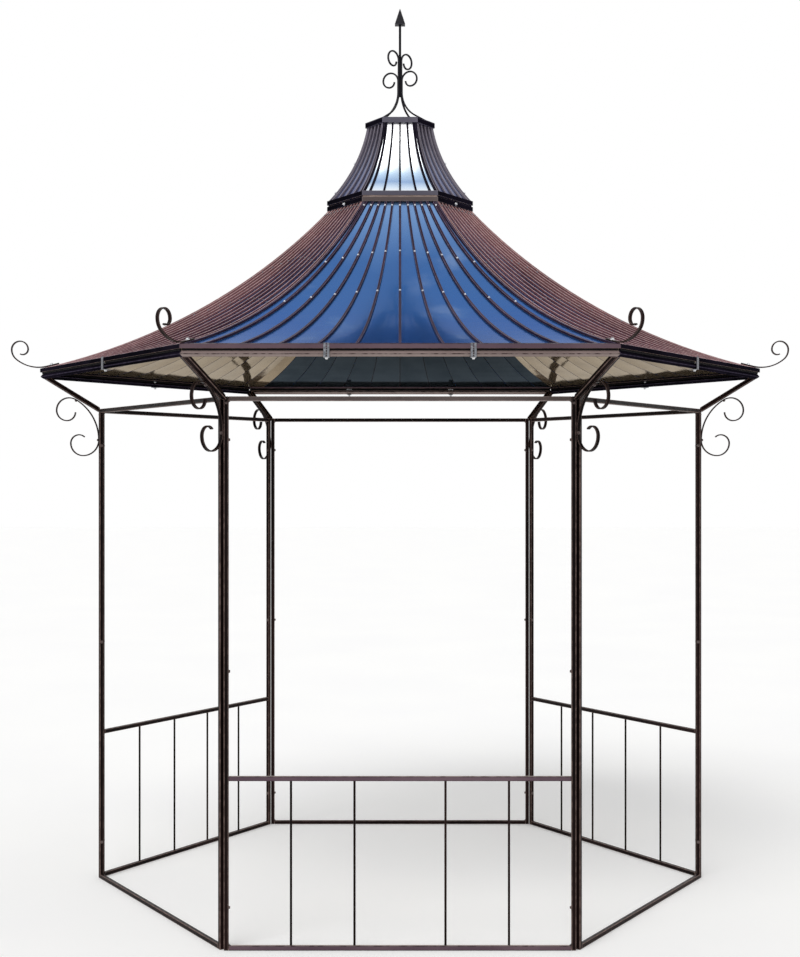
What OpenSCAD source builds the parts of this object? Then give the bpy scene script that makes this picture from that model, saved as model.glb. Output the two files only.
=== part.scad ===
// Hexagonal steel garden pavilion: six bay frames side by side, three railings,
// a flared six-sided roof of ribbed sheets, a flared lantern and a wrought finial.

/* [Plan] */
// Distance from the centre to a corner of the hexagon of posts
post_r = 1500; // [1200:10:1800]
// How far the corners of the roof's eave stand out beyond the posts
overhang = 300; // [240:5:360]
// Side of the square tube of posts and rails
tube = 20; // [16:1:25]
// Gap left between pieces that lie against each other
fit_gap = 0.3; // [0.2:0.1:0.5]

/* [Heights] */
// Height of the top face of the top rail
rail_z = 2340; // [1900:10:2850]
// Height of the top face of the guard rail
guard_z = 735; // [500:5:900]
// Rise from the top rail to the top face of the roof's eave tube
eave_rise = 202; // [170:2:250]
// Rise of the roof from its eave to its upper edge
roof_rise = 792; // [660:2:970]
// Rise of the lantern above the roof's upper edge
lantern_rise = 431; // [380:1:500]
// Height of the finial's tip above the lantern
finial_rise = 580; // [500:2:650]

/* [Railings] */
// Diameter of a railing bar
bar_d = 10; // [6:1:14]
// Middle gap of the front railing, as a multiple of its other gaps
front_mid_gap = 1.45; // [1:0.05:2]

/* [Roof] */
// Distance from the centre to a corner of the collar
collar_r = 362; // [300:2:440]
// How far the roof's curve hangs below a straight slope
roof_sag = 115; // [80:5:150]
// Width of a roof rib
rib_w = 10; // [8:1:14]
// Height of a roof rib
rib_h = 10; // [8:1:14]
// Width of the two ribs that meet at a corner
edge_w = 7; // [6:1:10]
// Width of the tube along the eave
eave_w = 16; // [12:1:24]
// Depth of that tube below the roof sheet's upper face
eave_drop = 9; // [6:1:12]
// Height of the packing between that tube and the rail below it
pack_h = 5.5; // [4:0.5:8]
// Place of the first ribs beside the middle one, as a share of half the side
rib_first = 0.2; // [0.18:0.005:0.22]
// Distance from one of the outer ribs to the next, as a share of half the side
rib_step = 0.176; // [0.16:0.002:0.18]
// Thickness of a roof sheet
sheet_t = 2; // [1.5:0.5:3]

/* [Lantern] */
// Height and depth of each of the collar's two bands, and of the lantern's upper one
band_h = 22; // [14:1:24]
// Height of the narrow neck between the collar's two bands
neck_h = 7; // [4:1:10]
// Distance from the centre to a corner of the lantern's upper edge
lantern_r = 174; // [150:1:190]
// How far the lantern's curve hangs below a straight slope
lantern_sag = 26; // [20:1:40]
// How far the lantern's upper band stands out beyond its ribs
ring_over = 7; // [4:1:10]
// Width of a lantern rib
lantern_rib_w = 8; // [6:1:12]
// Height of a lantern rib
lantern_rib_h = 8; // [6:1:10]
// Width of the two lantern ribs that meet at a corner
lantern_edge_w = 7; // [5:1:9]
// Thickness of the plate that closes the lantern
cap_t = 4; // [3:0.5:6]

/* [Scrolls] */
// Thickness of the flat bar of the scrolls
strip_t = 6; // [3:0.5:8]
// Width of the flat bar of the scrolls
strip_w = 16; // [12:1:20]

/* [Finial] */
// Diameter of the finial's rod
rod_d = 12; // [10:1:16]
// Thickness of each bar that stands round the rod
bar_t = 8; // [7:0.5:9]
// Distance from the centre to the foot of a bar
foot_r = 133; // [110:1:140]
// Height above the cap at which the feet join the rod
splay_h = 150; // [120:5:180]
// Radius of the bend that leads a foot into the rod
splay_rad = 137; // [100:1:150]
// Distance from the height of the splay down to the rod's lower end
rod_drop = 20; // [0:1:30]
// Height above the cap at which the lower scrolls leave the rod
lower_curl_h = 208; // [200:2:240]
// Height above the cap at which the upper scrolls leave the rod
upper_curl_h = 308; // [290:2:350]
// Length of the spear head
head_h = 86; // [70:2:100]
// Width of the spear head across its flats
head_w = 52; // [40:1:60]

/* [Hidden] */
$fn = 48;

// Facets of the big circles that the roof's curves are cut from
ARC_FN = 360;
// Half of a side, for each unit of distance from the centre to its middle
HALF = tan(30);
// Longer than any piece
FAR = 6000;

// Distance from the centre to a corner of the roof's eave
eave_r = post_r + overhang;
// Heights above the ground, each stacked on the one below
eave_z = rail_z + eave_rise;
collar_z = eave_z + roof_rise;
lantern_z = collar_z + lantern_rise;
tip_z = lantern_z + finial_rise;

// Distances from the centre to the middle of a side
post_v = post_r * cos(30);
eave_v = eave_r * cos(30);
collar_v = collar_r * cos(30);
lantern_v = lantern_r * cos(30);

// Half the length of a bay frame, at the outer ends of its posts
bay_half = (post_v - tube / 2) * HALF - fit_gap / 2;
// Clear half width between the posts of a bay
bay_clear = bay_half - tube;

// Centre and radius of the arc through two points [v, z] that hangs below their chord by sag
function chord(low, high) = norm(high - low);
function arc_radius(low, high, sag) = pow(chord(low, high), 2) / (8 * sag) + sag / 2;
function arc_centre(low, high, sag) =
    (low + high) / 2
    + (arc_radius(low, high, sag) - sag) / chord(low, high) * [high[1] - low[1], low[0] - high[0]];
// Height of such an arc at the distance v, for a radius that may differ
function arc_z(centre, radius, v) = centre[1] - sqrt(pow(radius, 2) - pow(v - centre[0], 2));

// The roof's curve is the underside of its ribs
roof_low = [eave_v, eave_z - rib_h];
roof_high = [collar_v, collar_z - band_h];
roof_arc = arc_centre(roof_low, roof_high, roof_sag);
roof_rad = arc_radius(roof_low, roof_high, roof_sag);
// Radius of the roof sheet's underside
under_rad = roof_rad + fit_gap + sheet_t;

// The roof's upper band lies on the ends of the ribs, and the lantern's band on that one
rib_top_z = arc_z(roof_arc, roof_rad - rib_h, collar_v);
collar_band_z = rib_top_z + fit_gap;
base_ring_z = collar_band_z + band_h + fit_gap;
// The lantern's curve is the underside of its ribs
lantern_inset = 14;
lantern_low = [collar_v - lantern_inset, base_ring_z + neck_h + band_h + fit_gap];
lantern_high = [lantern_v - lantern_rib_h - ring_over, lantern_z - band_h - fit_gap];
lantern_arc = arc_centre(lantern_low, lantern_high, lantern_sag);
lantern_rad = arc_radius(lantern_low, lantern_high, lantern_sag);
lantern_fracs = [-0.82, -0.44, 0, 0.44, 0.82];

// Radius of the underside of the tube along the eave
eave_rad = roof_rad + eave_drop;

// The rail under the eave is tilted like the arms, and its upper edge carries the packing
// under the eave tube. That edge and the arms' lower end settle the tilt. The edge stands so
// far back that the tilted tube stays behind the clips' straps.
setback = 0.6 * tube;
arm_low = [post_v, rail_z - tube / 2];
rail_edge = [eave_v - setback, arc_z(roof_arc, eave_rad, eave_v) - pack_h];
edge_reach = norm(rail_edge - arm_low);
arm_tilt = atan2(rail_edge[1] - arm_low[1], rail_edge[0] - arm_low[0])
    - asin(tube / 2 / edge_reach);
arm_len = sqrt(pow(edge_reach, 2) - pow(tube / 2, 2)) - tube / 2;
rail_at = arm_low + arm_len * [cos(arm_tilt), sin(arm_tilt)];
// Height of the tilted rail's lower edge below its centre
edge_drop = tube / sqrt(2) * sin(45 + arm_tilt);

// Fractions of half a side at which the inner ribs of a roof segment stand
rib_fracs = [
    for (i = [0 : 4]) rib_first + i * rib_step,
    0,
    for (i = [0 : 4]) -rib_first - i * rib_step
];

// Places of a strip along stretches of [radius, turn], each place as [x, y, heading].
// A clockwise turn has both numbers below zero, and a straight stretch is [length, 0].
TURN_STEP = 12;
function bend(arcs, at, heading, i = 0) =
    i == len(arcs) ? [[at[0], at[1], heading]] :
    let (
        r = arcs[i][0],
        turn = arcs[i][1],
        centre = at + r * [-sin(heading), cos(heading)],
        steps = max(1, ceil(abs(turn) / TURN_STEP)),
        end = turn == 0
            ? at + r * [cos(heading), sin(heading)]
            : centre + r * [sin(heading + turn), -cos(heading + turn)]
    )
    concat(
        [for (s = [0 : steps - 1])
            let (a = heading + turn * s / steps)
            [centre[0] + r * sin(a), centre[1] - r * cos(a), a]],
        bend(arcs, end, heading + turn, i + 1)
    );
function bend_end(arcs, at, heading) =
    let (path = bend(arcs, at, heading))
    [path[len(path) - 1][0], path[len(path) - 1][1]];
function beside(p, d) = [p[0] - d * sin(p[2]), p[1] + d * cos(p[2])];

// Flat outline of a strip of thickness t along a bent path
module strip_outline(path, t) {
    last = len(path) - 1;
    polygon(concat(
        [for (i = [0 : last]) beside(path[i], t / 2)],
        [for (i = [0 : last]) beside(path[last - i], -t / 2)]
    ));
}

// Places a child made for side 0 .. 5, counted from the front to the right, with x along
// the side and y outward
module side(k) {
    rotate(180 + 60 * k) children();
}

// Places a child made for corner 0 .. 5, counted from the front right one, with x outward
module corner(k) {
    rotate(60 * k - 60) children();
}

// Extrudes an outline of [v, z] along a side, centred on its middle
module along_side(length) {
    translate([-length / 2, 0, 0])
        rotate([90, 0, 90])
        linear_extrude(length)
        children();
}

// Stands an outline of [r, z] in the upright plane through a corner, width w
module in_corner(w) {
    rotate([90, 0, 0])
        linear_extrude(w, center = true)
        children();
}

// Plan of one sixth of the circle round the middle, held back from both corner lines by d
module sixth_plan(d) {
    polygon([[0, 2 * d], [FAR * HALF, FAR + 2 * d], [-FAR * HALF, FAR + 2 * d]]);
}

// Upright prism over one sixth
module sixth() {
    linear_extrude(FAR) sixth_plan(fit_gap / 2);
}

// One bay frame: two posts, three rails and two arms, each cut where it meets the next
module bay_frame() {
    // Posts
    for (s = [-1, 1]) {
        translate([s * (bay_half - tube / 2), post_v, rail_z / 2])
            cube([tube, tube, rail_z], center = true);
    }
    // Bottom rail and top rail
    for (z = [tube / 2, rail_z - tube / 2]) {
        translate([0, post_v, z])
            cube([2 * (bay_clear - fit_gap), tube, tube], center = true);
    }
    // Rail under the eave
    intersection() {
        along_side(FAR)
            translate(rail_at)
            rotate(arm_tilt)
            square(tube, center = true);
        sixth();
    }
    // Arms that carry it
    for (s = [-1, 1]) {
        intersection() {
            arm_bar(s);
            sixth();
            translate([-FAR / 2, post_v + tube / 2 + fit_gap, 0])
                cube([FAR, FAR, FAR]);
        }
    }
}

// Half the side at the lower and upper end of the arms, along the corner line
arm_half_low = (post_v - tube / 2) * HALF;
arm_half_high = rail_at[0] * HALF;

// One arm, laid out in the sloping plane of the bay's upper frame
module arm_bar(s) {
    skew = atan((arm_half_high - arm_half_low) / arm_len);
    across = tube / cos(skew);
    translate([0, arm_low[0], arm_low[1]])
        rotate([arm_tilt, 0, 0])
        linear_extrude(tube, center = true)
        polygon([
            [s * arm_at(-tube), -tube],
            [s * arm_at(arm_len - tube / 2 - fit_gap), arm_len - tube / 2 - fit_gap],
            [s * (arm_at(arm_len - tube / 2 - fit_gap) - across), arm_len - tube / 2 - fit_gap],
            [s * (arm_at(-tube) - across), -tube]
        ]);
}
// Outer edge of an arm at the distance w up the slope, on the corner line
function arm_at(w) =
    (arm_low[0] + w * cos(arm_tilt)) * HALF;

// Railing with four upright bars; mid_gap is the middle gap as a multiple of the others
module railing(mid_gap) {
    gap = (2 * bay_clear - 4 * bar_d) / (4 + mid_gap);
    bar_low = tube + fit_gap;
    inner = gap * mid_gap / 2 + bar_d / 2;
    outer = inner + gap + bar_d;
    translate([0, post_v, guard_z - tube / 2])
        cube([2 * (bay_clear - fit_gap), tube, tube], center = true);
    for (x = [-outer, -inner, inner, outer]) {
        translate([x, post_v, bar_low])
            cylinder(d = bar_d, h = guard_z - tube / 2 - bar_low);
    }
}

// Outline between two arcs about a centre, within two corners [v, z]
module arc_band(centre, r_top, r_under, low, high) {
    intersection() {
        difference() {
            translate(centre) circle(r_under, $fn = ARC_FN);
            translate(centre) circle(r_top, $fn = ARC_FN);
        }
        translate(low) square(high - low);
    }
}

// Slice of the curved roof between two radii of its arc
module roof_shell(r_top, r_under) {
    along_side(2 * eave_r)
        arc_band(roof_arc, r_top, r_under, [collar_v - band_h, 0], [eave_v, rib_top_z]);
}

// The same of the lantern, up to its upper ring and down to its base ring
module lantern_shell(r_top, r_under) {
    along_side(2 * collar_r)
        arc_band(lantern_arc, r_top, r_under, [0, lantern_low[1]], [collar_v, lantern_high[1]]);
}

module roof_sheet() {
    intersection() {
        roof_shell(roof_rad + fit_gap, under_rad);
        sixth();
        translate([-FAR / 2, 0, 0])
            cube([FAR, eave_v - eave_w - fit_gap, FAR]);
    }
}

// Plan of one sixth within its two edge ribs of width w
module inner_plan(w) {
    sixth_plan(fit_gap / 2 + w + fit_gap);
}

// Plan of a radial rib of width w at a fraction f of half the side, mitred at the edge rib
// of width edge
module rib_plan(f, w, edge, v_in, v_out) {
    lean = atan(f * HALF);
    half_w = w / 2 / cos(lean);
    intersection() {
        inner_plan(edge);
        polygon([
            [f * HALF * v_in - half_w, v_in], [f * HALF * v_in + half_w, v_in],
            [f * HALF * v_out + half_w, v_out], [f * HALF * v_out - half_w, v_out]
        ]);
    }
}

// Plan of the two edge ribs of width w, along the corner lines
module edge_plan(w, v_in, v_out) {
    intersection() {
        difference() {
            sixth_plan(fit_gap / 2);
            sixth_plan(fit_gap / 2 + w);
        }
        translate([-FAR / 2, v_in]) square([FAR, v_out - v_in]);
    }
}

// Bars of the roof above a plan, down to an underside of radius r_under
module roof_bars(r_under = roof_rad) {
    intersection() {
        roof_shell(roof_rad - rib_h, r_under);
        linear_extrude(FAR) children();
    }
}

module roof_ribs() {
    rib_in = collar_v - band_h;
    rib_out = eave_v - eave_w - fit_gap;
    roof_bars() edge_plan(edge_w, rib_in, rib_out);
    // Tube along the eave, from corner to corner
    roof_bars(eave_rad) intersection() {
        sixth_plan(fit_gap / 2);
        translate([-FAR / 2, eave_v - eave_w]) square([FAR, eave_w]);
    }
    for (f = rib_fracs) {
        roof_bars() rib_plan(f, rib_w, edge_w, rib_in, rib_out);
    }
}

// How far the collar's bands lap over the upper ends of the roof ribs
ring_lap = 3;
// How far the neck between the two bands stands back from their faces
neck_back = 6;

// Hexagonal ring with its corner at r, width w and height h
module hex_ring(r, w, h) {
    linear_extrude(h) difference() {
        circle(r, $fn = 6);
        circle(r - w / cos(30), $fn = 6);
    }
}

// Scroll between post and arm. It runs from the end of its upper curl, touches the arm where
// it is parallel to it and the post where it is upright, and ends in its lower curl.
hip_pitch = atan(tan(arm_tilt) * cos(30));
upper_curl = [[42, 90], [52, 90], [62, 90], [70, hip_pitch]];
back_bend = [[235, 90 - hip_pitch]];
lower_curl = [[78, 90], [62, 90], [42, 90], [38, 45]];

// Distance from the centre to the notch between two posts, where it is w wide
function notch_r(w) = post_r - tube / 2 / cos(30) + w / 2 / tan(30);
// Height of the arms' lower edge, at the distance r along the corner line
function arm_under_z(r) =
    arm_low[1] + tan(arm_tilt) * (r * cos(30) - arm_low[0]) - tube / 2 / cos(arm_tilt);

module corner_scroll() {
    touch = bend_end(upper_curl, [0, 0], -90);
    foot = bend_end(concat(upper_curl, back_bend), [0, 0], -90);
    start_r = notch_r(strip_w) + fit_gap + strip_t / 2 - foot[0];
    arm_gap = (strip_t / 2 + fit_gap) / cos(hip_pitch);
    start_z = arm_under_z(start_r + touch[0]) - arm_gap - touch[1];
    arcs = concat(upper_curl, back_bend, lower_curl);
    in_corner(strip_w)
        strip_outline(bend(arcs, [start_r, start_z], -90), strip_t);
}

// Scroll on the roof's corner. Its base lies on the corner ribs, and it curls up and inward.
base_len = 60;
base_back = 95;
eave_curl = [[62, 50], [42, 90], [40, 90], [27, 90], [24, 30]];

// Point of the scroll's base on the roof's corner, at the distance r
function hip_point(r) =
    [r, arc_z(roof_arc, roof_rad - rib_h - fit_gap - strip_t / 2, r * cos(30))];

module eave_scroll() {
    from = hip_point(eave_r - base_back);
    to = hip_point(eave_r - base_back + base_len);
    fall = atan2(to[1] - from[1], to[0] - from[0]);
    arcs = concat([[norm(to - from), 0], [175, 40 - fall]], eave_curl);
    in_corner(strip_w)
        strip_outline(bend(arcs, from, fall), strip_t);
}

// Clips that hold the roof's eave tube on the rail below: a strap with a foot under the rail,
// and a packing piece between tube and rail. The strap ends clip_over above the eave.
clip_w = 24;
clip_t = 2.5;
clip_over = 4;
pack_w = 6;
clip_at = [[-1 / 3, 1 / 3], [0], [0], [-1 / 3, 1 / 3], [0], [0]];

module eave_clip() {
    strap_v = eave_v + fit_gap;
    foot_z = rail_at[1] - edge_drop - fit_gap;
    foot_v = rail_at[0] - tube / 2;
    along_side(clip_w) {
        translate([strap_v, foot_z - clip_t])
            square([clip_t, eave_z + clip_over + clip_t - foot_z]);
        translate([foot_v, foot_z - clip_t])
            square([strap_v + clip_t - foot_v, clip_t]);
    }
    along_side(clip_w)
        difference() {
            translate([rail_edge[0] - pack_w / 2, rail_edge[1] + fit_gap])
                square([pack_w, pack_h + eave_w]);
            translate(roof_arc) circle(eave_rad + fit_gap, $fn = ARC_FN);
        }
}

module lantern_sheet() {
    intersection() {
        lantern_shell(lantern_rad + fit_gap, lantern_rad + fit_gap + sheet_t);
        sixth();
    }
}

// Bars of the lantern above a plan
module lantern_bars() {
    intersection() {
        lantern_shell(lantern_rad - lantern_rib_h, lantern_rad);
        linear_extrude(FAR) children();
    }
}

module lantern_ribs() {
    for (k = [0 : 5]) {
        side(k) {
            lantern_bars() edge_plan(lantern_edge_w, lantern_v / 2, collar_v);
            for (f = lantern_fracs) {
                lantern_bars()
                    rib_plan(f, lantern_rib_w, lantern_edge_w, lantern_v / 2, collar_v);
            }
        }
    }
}

module roof_collar() {
    translate([0, 0, collar_band_z])
        hex_ring(collar_r + ring_lap, band_h + ring_lap, band_h);
}

module lantern_base_ring() {
    translate([0, 0, base_ring_z + neck_h])
        hex_ring(collar_r + ring_lap, band_h + ring_lap, band_h);
    translate([0, 0, base_ring_z])
        hex_ring(collar_r + ring_lap - neck_back / cos(30), band_h + ring_lap - neck_back, neck_h);
}

module lantern_top_ring() {
    translate([0, 0, lantern_z - band_h])
        hex_ring(lantern_r, band_h, band_h);
}

cap_z = lantern_z + fit_gap;
module lantern_cap() {
    translate([0, 0, cap_z])
        linear_extrude(cap_t)
        circle(lantern_r, $fn = 6);
}

// Finial: four bars stand in two planes round the rod, splay out to their feet and curl
// outward at the top
foot_z = cap_z + cap_t + fit_gap;
bar_w = 7;
lower_plane = -22;
upper_plane = 48;
lower_curls = [[-42, -90], [-38, -90], [-34, -90], [-26, -90]];
upper_curls = [[-40, -90], [-37, -90], [-36, -90], [-24, -90]];
bar_r = (rod_d + bar_t) / 2 + fit_gap;
// A leg runs straight from its foot to the bend, whose centre lies outside of the bar
bend_side = bar_r + splay_rad - foot_r;
bend_reach = norm([bend_side, splay_h]);
leg_lean = atan2(splay_h, bend_side) + asin(splay_rad / bend_reach) - 90;
leg_len = sqrt(pow(bend_reach, 2) - pow(splay_rad, 2));

// One bar that stands upright at bar_r and leaves the rod with its curl at height h
module finial_bar(h, curl) {
    toe = bar_t / 2 * sin(leg_lean);
    arcs = concat([[leg_len, 0], [-splay_rad, -leg_lean], [h - splay_h, 0]], curl);
    in_corner(bar_w)
        strip_outline(bend(arcs, [foot_r, foot_z + toe], 90 + leg_lean), bar_t);
}

module finial_bars(plane, h, curl) {
    for (turn = [0, 180]) {
        rotate(plane + turn) finial_bar(h, curl);
    }
}

// The rod ends a little below the height at which the bars' feet splay out
module finial_spear() {
    rod_z = foot_z + splay_h - rod_drop;
    translate([0, 0, rod_z])
        cylinder(d = rod_d, h = tip_z - head_h - rod_z + 1);
    translate([0, 0, tip_z - head_h])
        rotate(45)
        cylinder(r1 = head_w / sqrt(2), r2 = 0, h = head_h, $fn = 4);
}

IRON = "#3b2a2a";
SHEET = "#3f6f9f";
PALE = "#9fc4e0";
ZINC = "#c9ccd0";

module frame_node(k) { color(IRON) side(k) bay_frame(); }
module railing_node(k, mid_gap) { color(IRON) side(k) railing(mid_gap); }
module corner_scroll_node(k) { color(IRON) corner(k) corner_scroll(); }
module roof_sheet_node(k) { color(SHEET) side(k) roof_sheet(); }
module roof_ribs_node(k) { color(IRON) side(k) roof_ribs(); }
module eave_scroll_node(k) { color(IRON) corner(k) eave_scroll(); }
module eave_clips() {
    color(ZINC) for (k = [0 : 5], f = clip_at[k]) {
        side(k) translate([f * eave_v * HALF, 0, 0]) eave_clip();
    }
}
module finial_lower_bars() {
    color(IRON) finial_bars(lower_plane, lower_curl_h, lower_curls);
}
module finial_upper_bars() {
    color(IRON) finial_bars(upper_plane, upper_curl_h, upper_curls);
}
module lantern_sheets() {
    color(PALE) for (k = [0 : 5]) side(k) lantern_sheet();
}

frame_node(0);  // frame_front
frame_node(1);  // frame_front_right
frame_node(2);  // frame_back_right
frame_node(3);  // frame_back
frame_node(4);  // frame_back_left
frame_node(5);  // frame_front_left
railing_node(0, front_mid_gap);  // railing_front
railing_node(2, 1);  // railing_back_right
railing_node(4, 1);  // railing_back_left
corner_scroll_node(0);  // corner_scroll_front_right
corner_scroll_node(1);  // corner_scroll_right
corner_scroll_node(2);  // corner_scroll_back_right
corner_scroll_node(3);  // corner_scroll_back_left
corner_scroll_node(4);  // corner_scroll_left
corner_scroll_node(5);  // corner_scroll_front_left
roof_sheet_node(0);  // roof_sheet_front
roof_sheet_node(1);  // roof_sheet_front_right
roof_sheet_node(2);  // roof_sheet_back_right
roof_sheet_node(3);  // roof_sheet_back
roof_sheet_node(4);  // roof_sheet_back_left
roof_sheet_node(5);  // roof_sheet_front_left
roof_ribs_node(0);  // roof_ribs_front
roof_ribs_node(1);  // roof_ribs_front_right
roof_ribs_node(2);  // roof_ribs_back_right
roof_ribs_node(3);  // roof_ribs_back
roof_ribs_node(4);  // roof_ribs_back_left
roof_ribs_node(5);  // roof_ribs_front_left
eave_scroll_node(0);  // eave_scroll_front_right
eave_scroll_node(1);  // eave_scroll_right
eave_scroll_node(2);  // eave_scroll_back_right
eave_scroll_node(3);  // eave_scroll_back_left
eave_scroll_node(4);  // eave_scroll_left
eave_scroll_node(5);  // eave_scroll_front_left
eave_clips();
color(IRON) roof_collar();
color(IRON) lantern_base_ring();
lantern_sheets();
color(IRON) lantern_ribs();
color(IRON) lantern_top_ring();
color(IRON) lantern_cap();
finial_lower_bars();
finial_upper_bars();
color(IRON) finial_spear();
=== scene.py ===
# %% [markdown]
# # A hexagonal garden pavilion
#
# The real object is a steel garden pavilion: six bay frames of square tube bolted side by side,
# three railings, wrought scrolls at every corner, a flared roof of ribbed sheets, a small
# lantern on top of it and a finial. Its construction comes packed from the CAD side, and this
# file gives it its looks: rounded tube edges, welds, bolts, sheets in strips, paint and zinc.
#
# Everything is in metres, with the ground at z = 0 and the front towards -Y.

# %% Load the imported frame
from math import asin, atan, atan2, cos, degrees, hypot, radians, sin, sqrt, tan

import bmesh
import bpy
from mathutils import Matrix, Vector


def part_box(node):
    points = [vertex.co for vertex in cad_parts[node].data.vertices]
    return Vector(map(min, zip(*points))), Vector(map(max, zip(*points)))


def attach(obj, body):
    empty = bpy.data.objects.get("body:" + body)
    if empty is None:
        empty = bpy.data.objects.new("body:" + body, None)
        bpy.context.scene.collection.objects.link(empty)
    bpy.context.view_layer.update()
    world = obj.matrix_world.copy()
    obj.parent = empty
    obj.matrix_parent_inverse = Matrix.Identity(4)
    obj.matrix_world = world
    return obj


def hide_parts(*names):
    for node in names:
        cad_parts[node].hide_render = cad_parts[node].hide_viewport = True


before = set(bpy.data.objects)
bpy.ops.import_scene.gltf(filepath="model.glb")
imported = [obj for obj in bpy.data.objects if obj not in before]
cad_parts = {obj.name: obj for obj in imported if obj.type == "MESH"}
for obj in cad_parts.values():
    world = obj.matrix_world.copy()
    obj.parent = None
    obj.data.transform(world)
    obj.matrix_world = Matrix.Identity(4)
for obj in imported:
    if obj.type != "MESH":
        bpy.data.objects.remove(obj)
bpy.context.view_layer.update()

# %% [markdown]
# ## Camera
#
# A tall open building is best shown from a little below its middle, from far enough away that
# its upright posts stay upright. The camera is level, looks along +Y and stands on the
# pavilion's middle plane, so that no shift is needed to keep the verticals straight.

# %% Camera
scene = bpy.context.scene
camera_data = bpy.data.cameras.new("camera")
camera_data.lens = 63.2
camera_data.sensor_width = 36
camera = bpy.data.objects.new("camera", camera_data)
camera.location = (0, -8.4, 1.993)
camera.rotation_euler = (radians(90), 0, 0)
scene.collection.objects.link(camera)
scene.camera = camera
print("camera", tuple(round(a, 3) for a in camera.location), "lens", camera_data.lens, "mm")

# %% [markdown]
# ## Light and floor
#
# A studio for metal needs two things: even light that shows a colour about as it is, and a
# pale surround for the metal to mirror. The world gives both. Light Path tells the rays apart:
# what the camera, a mirror or a glass sees is plain white, and what lights the object is a
# softer grey. One wide sun from the front gives the tubes a light and a dark side.
# The floor is pale, and takes the object's shadow.

# %% World and sun
scene.view_settings.view_transform = "Standard"
world = bpy.data.worlds.new("studio")
scene.world = world
world.use_nodes = True
studio = world.node_tree
studio.nodes.clear()
ray = studio.nodes.new("ShaderNodeLightPath")
seen = studio.nodes.new("ShaderNodeMath")
seen.operation = "ADD"
seen.use_clamp = True
mirrored = studio.nodes.new("ShaderNodeMath")
mirrored.operation = "ADD"
mirrored.use_clamp = True
studio.links.new(ray.outputs["Is Glossy Ray"], mirrored.inputs[0])
studio.links.new(ray.outputs["Is Transmission Ray"], mirrored.inputs[1])
studio.links.new(ray.outputs["Is Camera Ray"], seen.inputs[0])
studio.links.new(mirrored.outputs[0], seen.inputs[1])
soft = studio.nodes.new("ShaderNodeBackground")
soft.inputs["Color"].default_value = (1, 1, 1, 1)
soft.inputs["Strength"].default_value = 0.62
white = studio.nodes.new("ShaderNodeBackground")
white.inputs["Color"].default_value = (1, 1, 1, 1)
white.inputs["Strength"].default_value = 1.0
either = studio.nodes.new("ShaderNodeMixShader")
studio.links.new(seen.outputs[0], either.inputs[0])
studio.links.new(soft.outputs[0], either.inputs[1])
studio.links.new(white.outputs[0], either.inputs[2])
world_out = studio.nodes.new("ShaderNodeOutputWorld")
studio.links.new(either.outputs[0], world_out.inputs["Surface"])

sun_data = bpy.data.lights.new("sun", "SUN")
sun_data.energy = 1.3
sun_data.angle = radians(35)
sun = bpy.data.objects.new("sun", sun_data)
sun.rotation_euler = (radians(42), radians(-8), radians(-14))
scene.collection.objects.link(sun)
print("world", soft.inputs["Strength"].default_value, "sun", sun_data.energy)

# %% [markdown]
# ## Shader sums
#
# A procedural material is a sum of patterns. Written as nodes it is long, so one small class
# stands for a socket: adding, multiplying or subtracting two of them adds the Math node, and
# one method makes any other node. The other helper turns a colour, as it looks on a screen,
# into the linear numbers that shaders work with.

# %% Shader sums
def tone(red, green, blue):
    """A colour as it looks on a screen, each part from 0 to 255, as linear numbers."""
    parts = [c / 255 for c in (red, green, blue)]
    linear = [c / 12.92 if c <= 0.04045 else ((c + 0.055) / 1.055) ** 2.4 for c in parts]
    return (*linear, 1)


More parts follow.
